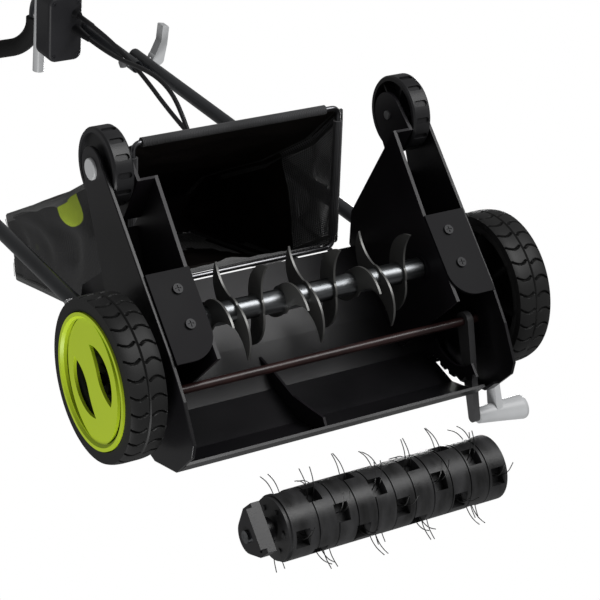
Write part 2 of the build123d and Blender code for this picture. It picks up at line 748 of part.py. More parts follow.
# ---------------------------------------------------------------- switch box, button and bail lever
BOX_X = -148.0
BOX_W = 54.0
BOX_H = 100.0
BOX_START = 128.0
BOX_HALF = 23.0
GLAND_A = (-164.0, -30.0)  # x, and place across the handle
GLAND_B = (-164.0, -6.0)
BUTTON_X = -136.0
BUTTON_ACROSS = 14.0


def make_box_half(start, open_end):
    with BuildPart() as half:
        with BuildSketch(handle_plane(BOX_X, start, -8)):
            RectangleRounded(BOX_W, BOX_H, 13)
        extrude(amount=BOX_HALF)
        if open_end:
            rim = half.faces().sort_by(Axis(origin=(0, 0, 0), direction=(0, *ALONG)))[0]
        else:
            rim = half.faces().sort_by(Axis(origin=(0, 0, 0), direction=(0, *ALONG)))[-1]
        fillet(rim.edges(), 5)
        hollow_start = start + 3 if open_end else start - 1
        with BuildSketch(handle_plane(BOX_X, hollow_start, -8)):
            RectangleRounded(BOX_W - 6, BOX_H - 6, 10)
        extrude(amount=BOX_HALF - 2, mode=Mode.SUBTRACT)
        if open_end:
            with BuildSketch(handle_plane(BOX_X, start - 2, -8)):
                with Locations(*[(BOX_X - x, across + 8) for x, across in (GLAND_A, GLAND_B)]):
                    Circle(4.2 + FIT)
            extrude(amount=8, mode=Mode.SUBTRACT)
        else:
            with BuildSketch(handle_plane(BUTTON_X, start + BOX_HALF - 6, BUTTON_ACROSS)):
                Circle(9.2)
            extrude(amount=8, mode=Mode.SUBTRACT)
    return half.part


save(make_box_half(BOX_START, True), "switch_box")
save(make_box_half(BOX_START + BOX_HALF, False), "switch_box_cover")

with BuildPart() as box_clamp:
    with BuildSketch(handle_plane(-UPPER_X, BOX_START + 4, 0)):
        Circle(13)
        Circle(TUBE_R + FIT, mode=Mode.SUBTRACT)
        with Locations((-13.2, 0)):
            Rectangle(8, 60, mode=Mode.SUBTRACT)
    extrude(amount=34)

with BuildPart() as switch_unit:
    with BuildSketch(handle_plane(BOX_X, BOX_START + 8, -8)):
        with Locations((0, -16)):
            Rectangle(26, 36)
    extrude(amount=20)
save(switch_unit.part, "switch_unit")

with BuildPart() as safety_button:
    with BuildSketch(handle_plane(BUTTON_X, BOX_START + 2 * BOX_HALF - 10, BUTTON_ACROSS)):
        Circle(11)
    extrude(amount=3)
    with BuildSketch(handle_plane(BUTTON_X, BOX_START + 2 * BOX_HALF - 7, BUTTON_ACROSS)):
        Circle(8.8)
    extrude(amount=14)
    fillet(safety_button.faces().sort_by(Axis(origin=(0, 0, 0), direction=(0, *ALONG)))[-1].edges(), 1.5)
save(safety_button.part, "safety_button")

BAIL_X = -158.0
BAIL_HINGE = (188.0, -46.0)
with BuildPart() as bail_lever:
    with BuildLine() as bail_line:
        FilletPolyline(at(BAIL_X, on_handle(*BAIL_HINGE)), at(BAIL_X, on_handle(232, -36)),
                       at(BAIL_X, on_handle(238, 98)), radius=22)
    with BuildSketch(Plane(origin=bail_line.line @ 0, z_dir=bail_line.line % 0)):
        Ellipse(9, 9)
    sweep()
    with BuildSketch(side(BAIL_X - 9)):
        with Locations(on_handle(*BAIL_HINGE)):
            Circle(9)
    extrude(amount=18)
    with BuildSketch(side(BAIL_X - 10)):
        with Locations(on_handle(*BAIL_HINGE)):
            Circle(3 + FIT)
    extrude(amount=20, mode=Mode.SUBTRACT)
save(bail_lever.part, "bail_lever")

with BuildPart() as bail_bracket:
    for lug_x in (BAIL_X - 13.4, BAIL_X + 9.4):
        with BuildSketch(side(lug_x)):
            polygon(on_handle(BOX_START + 2 * BOX_HALF + 0.2, -56), on_handle(BAIL_HINGE[0], -56),
                    on_handle(BAIL_HINGE[0], -37), on_handle(BOX_START + 2 * BOX_HALF + 0.2, -37))
            with Locations(on_handle(*BAIL_HINGE)):
                Circle(9.5)
                Circle(3 + FIT, mode=Mode.SUBTRACT)
        extrude(amount=4)
    with BuildSketch(side(BAIL_X - 15)):
        with Locations(on_handle(*BAIL_HINGE)):
            Circle(3)
    extrude(amount=30)
save(Compound(children=[*box_clamp.part.solids(), *bail_bracket.part.solids()]), "box_brackets")

# ---------------------------------------------------------------- cables and their glands
COVER_X = -120.0           # right-hand face of the motor cover
ENTRY_A = (60.0, 228.0)    # where the cables enter it
ENTRY_B = (26.0, 244.0)
GLAND_L = 9.0
RELIEF_L = 42.0            # the longer, tapered strain relief
# Each cable's last turn, towards the cover: places across the machine and back from where it enters.
LAST_TURN = ((-172.1, 56.6), (-172.1, 28.6), (-166.6, 15.5), (-156.6, 5.4), (-143.5, 0), (-129.3, 0))


def routed(*stops):
    """Points of a cable along the handle, from stops of x, place along and place across the handle."""
    return [at(x, on_handle(along, across)) for x, along, across in stops]


def turned_in(entry, slope):
    """Last points of a cable that comes down a slope and turns square to the cover."""
    down = tilt(slope)
    return [at(x, (entry[0] + back * down[0], entry[1] + back * down[1])) for x, back in LAST_TURN]


def largest_arcs(route):
    """Radius at each corner of a route: as large as the two runs beside it allow."""
    runs = [Vector(*after) - Vector(*before) for before, after in zip(route, route[1:])]
    return [
        0.45 * min(run.length, following.length) / math.tan(math.radians(run.get_angle(following) / 2))
        for run, following in zip(runs, runs[1:])
    ]


MOTOR_CABLE = routed(
    (GLAND_A[0], BOX_START - GLAND_L - 0.3, GLAND_A[1]), (GLAND_A[0], 82, GLAND_A[1]), (-167, 14, -24),
    (-170, -64, -8), (-170, -146, 16), (-170, -230, 32), (-170, -312, 36), (-170, -390, 30),
    (-170, -462, 30), (-171, -532, 35),
) + turned_in(ENTRY_A, 22.15)
SWITCH_CABLE = routed(
    (GLAND_B[0], BOX_START - RELIEF_L - 0.3, GLAND_B[1]), (GLAND_B[0], 50, GLAND_B[1]), (-160, -14, -13),
    (-158, -84, -26), (-158, -134, -30), (-158, -176, -22), (-158, -208, 2), (-158, -236, 28),
    (-158, -276, 48), (-159, -334, 67), (-161, -400, 77), (-164, -475, 80), (-168, -545, 78),
) + turned_in(ENTRY_B, 28.15)

for name, route in (("motor_cable", MOTOR_CABLE), ("switch_cable", SWITCH_CABLE)):
    radii = largest_arcs(route)
    with BuildPart() as cable:
        with BuildLine() as cable_line:
            FilletPolyline(*route, radius=radii)
        with BuildSketch(Plane(origin=cable_line.line @ 0, z_dir=cable_line.line % 0)):
            Circle(CABLE_R)
        sweep()
    cable_length = sum(edge.length for edge in cable_line.line.edges())
    solid_length = cable.part.volume / (math.pi * CABLE_R**2)
    print(name, "length", round(cable_length), "from its volume", round(solid_length))
    print(name, "radii", [round(radius) for radius in radii])
    save(cable.part, name)

with BuildPart() as box_glands:
    for gland, length, tip_r in ((GLAND_A, GLAND_L, 5.5), (GLAND_B, RELIEF_L, 4.4)):
        with BuildSketch(handle_plane(gland[0], BOX_START - 0.1, gland[1])):
            Circle(7)
        with BuildSketch(handle_plane(gland[0], BOX_START - length + 0.1, gland[1])):
            Circle(tip_r)
        loft()
        with BuildSketch(handle_plane(gland[0], BOX_START - 0.1, gland[1])):
            Circle(4.2)
        extrude(amount=6)
save(Compound(children=list(box_glands.part.solids())), "box_glands")

with BuildPart() as cover_glands:
    for entry in (ENTRY_A, ENTRY_B):
        with BuildSketch(side(COVER_X - GLAND_L + 0.1)):
            with Locations(entry):
                Circle(5.5)
        extrude(amount=GLAND_L - 0.2)
save(Compound(children=list(cover_glands.part.solids())), "cover_glands")

# ---------------------------------------------------------------- spare tine cylinder
DRUM_PLANE = Plane(origin=at(0, DRUM), x_dir=(0, 1, 0), z_dir=(1, 0, 0))
WINDOW_PITCH = (DRUM_LEFT - DRUM_RIGHT - 24) / (TINE_STATIONS - 1)
WINDOWS = [
    (DRUM_RIGHT + 12 + WINDOW_PITCH * i, 47.0 * i + turn)
    for i in range(TINE_STATIONS)
    for turn in (0.0, 120.0, 240.0)
]


def radial(x, angle, radius):
    """Plane on the drum at x, facing outwards at an angle; its own X runs along the drum."""
    c, s = tilt(angle)
    return Plane(origin=at(x, (DRUM[0] + radius * c, DRUM[1] + radius * s)), x_dir=(1, 0, 0), z_dir=(0, c, s))


with BuildPart() as tine_drum:
    with BuildSketch(DRUM_PLANE.offset(DRUM_RIGHT)):
        Circle(DRUM_R)
    extrude(amount=DRUM_LEFT - DRUM_RIGHT)
    seam_x = [DRUM_RIGHT + 24 * (i + 1) for i in range(10)]
    for x in seam_x:
        with BuildSketch(DRUM_PLANE.offset(x - 0.8)):
            Circle(DRUM_R + 1)
            Circle(DRUM_R - 1.5, mode=Mode.SUBTRACT)
        extrude(amount=1.6, mode=Mode.SUBTRACT)
    for x, angle in WINDOWS:
        with BuildSketch(radial(x, angle, DRUM_R + 2)):
            Rectangle(17, 20)
        extrude(amount=-14, mode=Mode.SUBTRACT)
    with BuildSketch(DRUM_PLANE.offset(DRUM_RIGHT - 1)):
        Circle(8)
    extrude(amount=23, mode=Mode.SUBTRACT)
    with BuildSketch(DRUM_PLANE.offset(DRUM_LEFT - 30)):
        Circle(7 + FIT)
    extrude(amount=31, mode=Mode.SUBTRACT)
save(tine_drum.part, "tine_drum")

with BuildPart() as drum_flange:
    with BuildSketch(DRUM_PLANE.offset(DRUM_LEFT + 0.1)):
        Circle(DRUM_R - 2)
        Circle(7 + FIT, mode=Mode.SUBTRACT)
        with PolarLocations(24, 6):
            Circle(3, mode=Mode.SUBTRACT)
    extrude(amount=4)

with BuildPart() as drum_screws:
    with BuildSketch(DRUM_PLANE.offset(DRUM_LEFT + 0.2)):
        with PolarLocations(24, 6):
            Circle(2.8)
    extrude(amount=5.6)
save(Compound(children=[*drum_flange.part.solids(), *drum_screws.part.solids()]), "drum_flange")

with BuildPart() as drum_shaft:
    with BuildSketch(DRUM_PLANE.offset(DRUM_LEFT - 29)):
        Circle(7)
    extrude(amount=66)
save(drum_shaft.part, "drum_shaft")

tines = []
for x, angle in WINDOWS:
    for shift in (-3.5, 3.5):
        with BuildPart() as tine:
            with BuildSketch(radial(x + shift, angle, DRUM_R - 11.9)):
                Circle(0.9)
            extrude(amount=TINE_TIP_R - DRUM_R + 11.9)
        tines += list(tine.part.solids())
save(Compound(children=tines), "drum_tines")

BLOCK_X = DRUM_LEFT + 8.0
with BuildPart() as bearing_block:
    with BuildSketch(DRUM_PLANE.offset(BLOCK_X)):
        Circle(14)
    extrude(amount=18)
    with BuildSketch(DRUM_PLANE.offset(BLOCK_X + 16)):
        Circle(19)
        with Locations((0, -22)):
            Rectangle(54, 20)
        make_hull()
    extrude(amount=10)
    with BuildSketch(DRUM_PLANE.offset(BLOCK_X + 25)):
        with Locations((0, -28)):
            Rectangle(44, 8)
    extrude(amount=8)
    with BuildSketch(DRUM_PLANE.offset(BLOCK_X - 1)):
        Circle(7 + FIT)
    extrude(amount=40, mode=Mode.SUBTRACT)
    with BuildSketch(DRUM_PLANE.offset(BLOCK_X + 15)):
        with Locations((-20, -18), (20, -18)):
            Circle(3.2)
    extrude(amount=12, mode=Mode.SUBTRACT)
save(bearing_block.part, "spare_bearing_block")
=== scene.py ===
import json
import math

import bmesh
import bpy
from mathutils import Matrix, Vector, noise


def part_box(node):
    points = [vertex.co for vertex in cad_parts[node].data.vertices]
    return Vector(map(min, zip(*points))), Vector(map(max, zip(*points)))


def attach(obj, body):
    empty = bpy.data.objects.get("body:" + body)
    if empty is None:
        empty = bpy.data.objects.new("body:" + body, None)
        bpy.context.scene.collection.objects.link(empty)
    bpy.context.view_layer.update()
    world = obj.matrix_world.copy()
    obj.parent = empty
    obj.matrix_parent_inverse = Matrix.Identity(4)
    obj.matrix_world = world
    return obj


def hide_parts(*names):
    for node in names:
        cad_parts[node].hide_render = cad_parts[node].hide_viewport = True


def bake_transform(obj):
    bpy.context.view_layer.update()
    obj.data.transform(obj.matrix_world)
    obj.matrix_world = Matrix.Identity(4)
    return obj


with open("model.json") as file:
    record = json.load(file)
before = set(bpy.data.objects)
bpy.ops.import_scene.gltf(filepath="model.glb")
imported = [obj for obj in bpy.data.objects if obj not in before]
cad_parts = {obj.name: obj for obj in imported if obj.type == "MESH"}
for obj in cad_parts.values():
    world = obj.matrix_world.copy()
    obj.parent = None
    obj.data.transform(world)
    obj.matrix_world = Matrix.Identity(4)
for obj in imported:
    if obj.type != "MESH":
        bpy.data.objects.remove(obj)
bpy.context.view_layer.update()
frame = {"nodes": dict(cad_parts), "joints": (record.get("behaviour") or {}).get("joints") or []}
scene = bpy.context.scene

# ---------------------------------------------------------------- places, taken from the frame
JOINT = {joint["name"]: Vector(joint["pos_m"]) for joint in frame["joints"] if joint.get("pos_m")}
FRONT_AXLE = JOINT["left_front_spin"]
AXLE_Y = FRONT_AXLE.y
MIDDLE = JOINT["upper_fold"]
PIVOT = JOINT["handle_fold"]
ALONG = (MIDDLE - PIVOT).normalized()
ACROSS = Vector((0, -ALONG.z, ALONG.y))
DRUM = JOINT["drum_spin"]
TYRE_R = 0.090
DRUM_R = 0.036
TINE_TIP_R = 0.061


def on_handle(x, along, across):
    """A point from the middle joint: so far along the handle, and so far square to it towards the front."""
    point = MIDDLE + ALONG * along + ACROSS * across
    return Vector((x, point.y, point.z))


def side_point(x, back, up):
    """A point at x, so far behind the front axle and so high above the ground."""
    return Vector((x, AXLE_Y + back, up))


# ---------------------------------------------------------------- materials
def ramp(nodes, links, source, stops):
    node = nodes.new("ShaderNodeValToRGB")
    links.new(source, node.inputs["Fac"])
    node.color_ramp.elements[0].position, node.color_ramp.elements[0].color = stops[0]
    node.color_ramp.elements[1].position, node.color_ramp.elements[1].color = stops[-1]
    for position, colour in stops[1:-1]:
        node.color_ramp.elements.new(position).color = colour
    return node.outputs["Color"]


def surface(name, dark, light, roughness=(0.4, 0.6), metallic=0.0, grain=900.0, bump=0.1, cloud=9.0,
            stretch=(1, 1, 1), edge=None, coat=0.0, specular=0.35):
    """A surface whose colour drifts between two tones, with fine grain and an optional lighter colour on its
    sharpest edges.
    """
    material = bpy.data.materials.new(name)
    material.use_nodes = True
    nodes, links = material.node_tree.nodes, material.node_tree.links
    shader = nodes["Principled BSDF"]
    shader.inputs["Metallic"].default_value = metallic
    shader.inputs["Coat Weight"].default_value = coat
    shader.inputs["Specular IOR Level"].default_value = specular
    place = nodes.new("ShaderNodeTexCoord")
    scale = nodes.new("ShaderNodeMapping")
    scale.inputs["Scale"].default_value = stretch
    links.new(place.outputs["Object"], scale.inputs["Vector"])
    clouds = nodes.new("ShaderNodeTexNoise")
    clouds.inputs["Scale"].default_value = cloud
    clouds.inputs["Detail"].default_value = 5
    links.new(scale.outputs["Vector"], clouds.inputs["Vector"])
    colour = ramp(nodes, links, clouds.outputs["Fac"], [(0.3, (*dark, 1)), (0.72, (*light, 1))])
    # Optional lighter colour where the mesh is most convex, on its sharp edges.
    if edge:
        shape = nodes.new("ShaderNodeNewGeometry")
        sharp_edge_mask = ramp(nodes, links, shape.outputs["Pointiness"], [(0.51, (0, 0, 0, 1)), (0.56, (1, 1, 1, 1))])
        mix = nodes.new("ShaderNodeMix")
        mix.data_type = "RGBA"
        links.new(sharp_edge_mask, mix.inputs[0])
        links.new(colour, mix.inputs[6])
        mix.inputs[7].default_value = (*edge, 1)
        colour = mix.outputs[2]
    links.new(colour, shader.inputs["Base Color"])
    specks = nodes.new("ShaderNodeTexNoise")
    specks.inputs["Scale"].default_value = grain
    specks.inputs["Detail"].default_value = 3
    links.new(scale.outputs["Vector"], specks.inputs["Vector"])
    low, high = roughness
    shine = ramp(nodes, links, clouds.outputs["Fac"], [(0.2, (low,) * 3 + (1,)), (0.8, (high,) * 3 + (1,))])
    links.new(shine, shader.inputs["Roughness"])
    relief = nodes.new("ShaderNodeBump")
    relief.inputs["Strength"].default_value = bump
    relief.inputs["Distance"].default_value = 0.0006
    links.new(specks.outputs["Fac"], relief.inputs["Height"])
    links.new(relief.outputs["Normal"], shader.inputs["Normal"])
    return material


def weave(name, thread, gap, pitch, sheen=0.2, patch=None, solid=1.0, mapped=False):
    """Crossed threads with openings, which let light through where solid is under 1, and optional patches.

    A mapped weave lies along the cloth's own "weave" map, in metres."""
    material = bpy.data.materials.new(name)
    material.use_nodes = True
    nodes, links = material.node_tree.nodes, material.node_tree.links
    shader = nodes["Principled BSDF"]
    shader.inputs["Roughness"].default_value = 0.72
    shader.inputs["Sheen Weight"].default_value = sheen
    place = nodes.new("ShaderNodeTexCoord")
    lie = place.outputs["Object"]
    if mapped:
        cloth_map = nodes.new("ShaderNodeUVMap")
        cloth_map.uv_map = "weave"
        lie = cloth_map.outputs["UV"]
    heights = []
    for direction in ("X", "Y" if mapped else "DIAGONAL"):
        wave = nodes.new("ShaderNodeTexWave")
        wave.bands_direction = direction
        wave.inputs["Scale"].default_value = 0.314 / pitch
        wave.inputs["Distortion"].default_value = 0.6
        links.new(lie, wave.inputs["Vector"])
        heights.append(wave.outputs["Fac"])
    cross = nodes.new("ShaderNodeMath")
    cross.operation = "MAXIMUM"
    links.new(heights[0], cross.inputs[0])
    links.new(heights[1], cross.inputs[1])
    clouds = nodes.new("ShaderNodeTexNoise")
    clouds.inputs["Scale"].default_value = 14
    clouds.inputs["Detail"].default_value = 6
    links.new(place.outputs["Object"], clouds.inputs["Vector"])
    tone = ramp(nodes, links, clouds.outputs["Fac"],
                [(0.35, (*[c * 0.6 for c in thread], 1)), (0.7, (*[min(c * 1.7, 1) for c in thread], 1))])
    if patch:
        spots = nodes.new("ShaderNodeTexNoise")
        spots.inputs["Scale"].default_value = 10
        spots.inputs["Detail"].default_value = 0
        links.new(place.outputs["Object"], spots.inputs["Vector"])
        edge = ramp(nodes, links, spots.outputs["Fac"], [(0.57, (0, 0, 0, 1)), (0.58, (1, 1, 1, 1))])
        patched = nodes.new("ShaderNodeMix")
        patched.data_type = "RGBA"
        links.new(edge, patched.inputs[0])
        links.new(tone, patched.inputs[6])
        patched.inputs[7].default_value = (*patch, 1)
        tone = patched.outputs[2]
    mix = nodes.new("ShaderNodeMix")
    mix.data_type = "RGBA"
    threads = ramp(nodes, links, cross.outputs["Value"], [(0.45, (0, 0, 0, 1)), (0.7, (1, 1, 1, 1))])
    links.new(threads, mix.inputs[0])
    mix.inputs[6].default_value = (*gap, 1)
    links.new(tone, mix.inputs[7])
    links.new(mix.outputs[2], shader.inputs["Base Color"])
    if solid < 1:
        cover = ramp(nodes, links, cross.outputs["Value"], [(0.35, (solid,) * 3 + (1,)), (0.6, (1, 1, 1, 1))])
        links.new(cover, shader.inputs["Alpha"])
    relief = nodes.new("ShaderNodeBump")
    relief.inputs["Strength"].default_value = 0.5
    relief.inputs["Distance"].default_value = 0.0008
    links.new(cross.outputs["Value"], relief.inputs["Height"])
    links.new(relief.outputs["Normal"], shader.inputs["Normal"])
    return material


LIME = (0.60, 0.78, 0.03)
deck_plastic = surface("deck_plastic", (0.006, 0.006, 0.007), (0.014, 0.013, 0.015), (0.26, 0.42), bump=0.12)
inner_plastic = surface("inner_plastic", (0.007, 0.006, 0.008), (0.014, 0.012, 0.015), (0.32, 0.5), bump=0.14)
# Painted shade: the pod covers are coloured darker than the deck plastic to stand in for the deep shade they
# lie in; the higher roughness and low specular are their dull finish.
painted_shade_plastic = surface("painted_shade_plastic", (0.004, 0.004, 0.005), (0.010, 0.009, 0.011), (0.5, 0.65),
                       specular=0.15)
tyre_plastic = surface("tyre_plastic", (0.006, 0.006, 0.006), (0.016, 0.016, 0.016), (0.42, 0.6), bump=0.2)
small_wheel_plastic = surface("small_wheel_plastic", (0.010, 0.010, 0.011), (0.026, 0.026, 0.028), (0.3, 0.5))
green_plastic = surface("green_plastic", (0.52, 0.70, 0.025), LIME, (0.28, 0.4), bump=0.05, cloud=4)
white_plastic = surface("white_plastic", (0.52, 0.53, 0.54), (0.74, 0.75, 0.76), (0.25, 0.4), bump=0.05)
box_plastic = surface("box_plastic", (0.014, 0.014, 0.016), (0.032, 0.032, 0.036), (0.35, 0.55), bump=0.25)
zinc = surface("zinc", (0.34, 0.34, 0.35), (0.56, 0.56, 0.57), (0.28, 0.42), metallic=1, stretch=(1, 8, 8))
dark_zinc = surface("dark_zinc", (0.05, 0.05, 0.055), (0.11, 0.11, 0.12), (0.3, 0.45), metallic=1)
black_steel = surface("black_steel", (0.015, 0.015, 0.016), (0.04, 0.04, 0.042), (0.4, 0.55), metallic=0.5)
bright_shaft = surface("bright_shaft", (0.09, 0.095, 0.10), (0.30, 0.31, 0.32), (0.26, 0.42), metallic=1,
                       stretch=(1, 12, 12), cloud=14)
# The blades' edges take a lighter colour where the mesh is most convex.
blade_steel = surface("blade_steel", (0.014, 0.014, 0.014), (0.045, 0.044, 0.043), (0.34, 0.5), metallic=0.7,
                      edge=(0.16, 0.16, 0.155), cloud=30)
drum_plastic = surface("drum_plastic", (0.010, 0.010, 0.010), (0.050, 0.050, 0.052), (0.26, 0.46), cloud=22,
                       stretch=(3, 1, 1), bump=0.25)
# Painted shade: the depth lever is coloured mid grey to stand in for the shaded side of the white lever arm.
painted_shade_grey = surface("painted_shade_grey", (0.06, 0.06, 0.062), (0.11, 0.11, 0.112), (0.35, 0.5))
spring_wire = surface("spring_wire", (0.03, 0.03, 0.03), (0.10, 0.10, 0.10), (0.25, 0.4), metallic=0.9)
brown_coat = surface("brown_coat", (0.012, 0.005, 0.005), (0.036, 0.013, 0.012), (0.3, 0.45), cloud=26,
                     coat=0.2)
tube_paint = surface("tube_paint", (0.014, 0.015, 0.017), (0.030, 0.032, 0.036), (0.22, 0.34), coat=0.3)
foam = surface("foam", (0.006, 0.006, 0.006), (0.015, 0.015, 0.015), (0.75, 0.9), grain=500, bump=0.6)
cable_rubber = surface("cable_rubber", (0.008, 0.008, 0.009), (0.020, 0.020, 0.022), (0.35, 0.5))
plain_wire = surface("plain_wire", (0.10, 0.10, 0.11), (0.3, 0.3, 0.31), (0.25, 0.4), metallic=1)
sleeve_cloth = weave("sleeve_cloth", (0.045, 0.045, 0.048), (0.010, 0.010, 0.011), 0.0016)
bag_side_mesh = weave("bag_side_mesh", (0.011, 0.011, 0.012), (0.003, 0.003, 0.003), 0.0022, patch=LIME,
                      sheen=0.06, mapped=True)
bag_plain_mesh = weave("bag_plain_mesh", (0.085, 0.085, 0.09), (0.006, 0.006, 0.006), 0.0034,
                       sheen=0.4, solid=0.6, mapped=True)
# Painted sheen: the wall mesh's light grey thread colour stands in for the shimmer on the mesh folds near the
# bag's mouth; its sheen weight and see-through gaps are real shading.
bag_wall_mesh_painted_sheen = weave("bag_wall_mesh_painted_sheen", (0.085, 0.085, 0.088), (0.008, 0.007, 0.007), 0.0032,
                      sheen=0.5, solid=0.5, mapped=True)
bag_cloth = surface("bag_cloth", (0.010, 0.007, 0.006), (0.020, 0.014, 0.012), (0.6, 0.8),
                    grain=1400, bump=0.4, cloud=12)
binding_cloth = weave("binding_cloth", (0.06, 0.062, 0.06), (0.02, 0.02, 0.02), 0.0014)

thread = surface("thread", (0.10, 0.10, 0.10), (0.2, 0.2, 0.2), (0.6, 0.8), grain=2500, bump=0.4)

FINISH = {
    # pod_bottom_covers: their darker colour is painted shade.
    painted_shade_plastic: ["pod_bottom_covers"],
    deck_plastic: ["deck_shell", "side_cheeks", "motor_cover", "belt_housing", "carry_handle",
                   "discharge_flap", "handle_brackets", "spare_bearing_block"],
    drum_plastic: ["tine_drum", "drum_flange"],
    # depth_lever: its mid grey is painted shade of the white lever arm.
    painted_shade_grey: ["depth_lever"],
    inner_plastic: ["inner_walls", "centre_rib", "depth_quadrant", "right_bearing_block"],
    small_wheel_plastic: ["left_rear_wheel", "right_rear_wheel"],
    green_plastic: ["left_hub_cover", "right_hub_cover"],
    white_plastic: ["left_cam_lever", "right_cam_lever", "bail_lever", "lever_knob", "rear_axle_caps"],
    box_plastic: ["switch_box", "switch_box_cover", "switch_unit", "safety_button"],
    zinc: ["left_bearing", "flap_hinge", "pivot_bolts", "middle_bolts", "motor_shaft", "motor_pulley",
           "rotor_pulley", "rear_axle_pins", "motor_body"],
    black_steel: ["deck_screws"],
    dark_zinc: ["wheel_cranks", "box_brackets"],
    bright_shaft: ["rotor_shaft", "drum_shaft", "blade_spacers"],
    blade_steel: ["rotor_blades"],
    brown_coat: ["cross_rod"],
    tube_paint: ["lower_handle_tubes", "upper_handle"],
    foam: ["foam_grip"],
    cable_rubber: ["box_glands", "cover_glands", "drive_belt"],
    plain_wire: ["bag_frame"],
    sleeve_cloth: ["bag_sleeves"],
}
for material, names in FINISH.items():
    for name in names:
        for material_slot in frame["nodes"][name].material_slots:
            material_slot.material = material


# ---------------------------------------------------------------- mesh helpers
def new_object(name, vertices, faces, materials, smooth=True):
    mesh = bpy.data.meshes.new(name)
    mesh.from_pydata(vertices, [], faces)
    mesh.validate()
    piece = bpy.data.objects.new(name, mesh)
    scene.collection.objects.link(piece)
    for material in materials:
        mesh.materials.append(material)
    for polygon in mesh.polygons:
        polygon.use_smooth = smooth
    return piece


def apply_modifiers(piece):
    """Replaces the piece's mesh by what its modifiers make of it."""
    graph = bpy.context.evaluated_depsgraph_get()
    mesh = bpy.data.meshes.new_from_object(piece.evaluated_get(graph))
    piece.modifiers.clear()
    piece.data = mesh


# ---------------------------------------------------------------- front wheels
WHEEL_IN = 0.223
WHEEL_OUT = 0.267
TREAD_STEPS = 720
SIPES = 30
SIPE_DEPTH = 0.0032


def tread_radius(turn, across, wheel_side):
    """Tyre radius at an angle, and at a place across the tread from -1 to 1.

    The tread has wavy cuts in two rows, and a line round its centre."""
    crown = TYRE_R - 0.0022 * across**4
    row = 1 if across > 0 else -1
    wave = 0.30 * math.sin(math.pi * abs(across)) * row * wheel_side
    phase = (turn * SIPES / math.tau + wave + (0.5 if row > 0 else 0)) % 1
    cut = max(0, 1 - abs(phase - 0.5) / 0.085) if 0.10 < abs(across) < 1.0 else 0
    centre = 1 if abs(across) < 0.05 else 0
    return crown - SIPE_DEPTH * min(1, 1.6 * cut) - 0.0016 * centre


def make_tyre(name, body, wheel_side):
    inner, outer = WHEEL_IN, WHEEL_OUT
    middle, half = (inner + outer) / 2, (outer - inner) / 2 - 0.001
    tread = [-1 + 2 * i / 28 for i in range(29)]
    rim = [(outer - 0.001, 0.0752), (outer - 0.0128, 0.0752), (outer - 0.0128, 0.070), (outer - 0.017, 0.070),
           (outer - 0.017, 0.017), (outer - 0.0135, 0.0165), (outer - 0.0135, 0.0075)]
    back = [(inner + 0.001, 0.0075), (inner + 0.001, 0.016), (outer - 0.022, 0.017), (outer - 0.022, 0.069),
            (inner + 0.003, 0.071), (inner + 0.0012, 0.080)]
    vertices, faces = [], []
    for step in range(TREAD_STEPS):
        turn = math.tau * step / TREAD_STEPS
        ring = [(middle + half * a, tread_radius(turn, a, wheel_side)) for a in tread] + rim + back
        vertices += [(wheel_side * x, AXLE_Y + r * math.cos(turn), TYRE_R + r * math.sin(turn))
                     for x, r in ring]
    count = len(tread) + len(rim) + len(back)
    for step in range(TREAD_STEPS):
        a, b = step * count, (step + 1) % TREAD_STEPS * count
        for i in range(count):
            j = (i + 1) % count
            face = (a + i, a + j, b + j, b + i)
            faces.append(face if wheel_side > 0 else face[::-1])
    tyre = new_object(name, vertices, faces, [tyre_plastic])
    for spoke in range(8):
        turn = math.tau * spoke / 8
        rib = bmesh.new()
        bmesh.ops.create_cube(rib, size=1)
        bmesh.ops.scale(rib, vec=(0.024, 0.054, 0.004), verts=rib.verts)
        bmesh.ops.bevel(rib, geom=rib.edges[:], offset=0.0008, segments=2, affect="EDGES")
        bmesh.ops.translate(rib, vec=(0, 0.043, 0), verts=rib.verts)
        bmesh.ops.rotate(rib, cent=(0, 0, 0), matrix=Matrix.Rotation(turn, 3, "X"), verts=rib.verts)
        bmesh.ops.translate(rib, vec=(wheel_side * (inner + 0.013), AXLE_Y, TYRE_R), verts=rib.verts)
        rib.from_mesh(tyre.data)
        rib.to_mesh(tyre.data)
        rib.free()
    for polygon in tyre.data.polygons:
        polygon.use_smooth = False
    tyre.data.update()
    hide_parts(name.replace("_tyre", "_front_wheel"))
    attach(tyre, body)


make_tyre("left_tyre", "left_front", 1)
make_tyre("right_tyre", "right_front", -1)


# ---------------------------------------------------------------- spare cylinder's wire tines
def make_tines():
    """Pairs of thin wires that leave the drum's windows and lean back as they rise."""
    wires = bpy.data.curves.new("wire_tines", "CURVE")
    wires.dimensions = "3D"
    wires.bevel_depth = 0.00055
    wires.bevel_resolution = 2
    low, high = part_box("tine_drum")
    first = low.x + 0.012
    pitch = (high.x - low.x - 0.024) / 10
    for station in range(11):
        for third in range(3):
            angle = math.radians(47 * station + 120 * third)
            for shift in (-0.0035, 0.0035):
                lean = 0.22 * math.sin(5 * station + 9 * third + 300 * shift)
                spline = wires.splines.new("NURBS")
                spline.points.add(5)
                for i, point in enumerate(spline.points):
                    rise = i / 5
                    radius = DRUM_R - 0.011 + (TINE_TIP_R - DRUM_R + 0.009) * rise
                    bend = angle + 0.34 * rise**2 + 0.1 * lean * rise
                    x = first + pitch * station + shift + 0.012 * lean * rise**2
                    point.co = (x, DRUM.y + radius * math.cos(bend), DRUM.z + radius * math.sin(bend), 1)
                spline.order_u = 3
                spline.use_endpoint_u = True
    tines = bpy.data.objects.new("wire_tines", wires)
    scene.collection.objects.link(tines)
    wires.materials.append(spring_wire)
    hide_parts("drum_tines")
    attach(tines, "spare_drum")


make_tines()

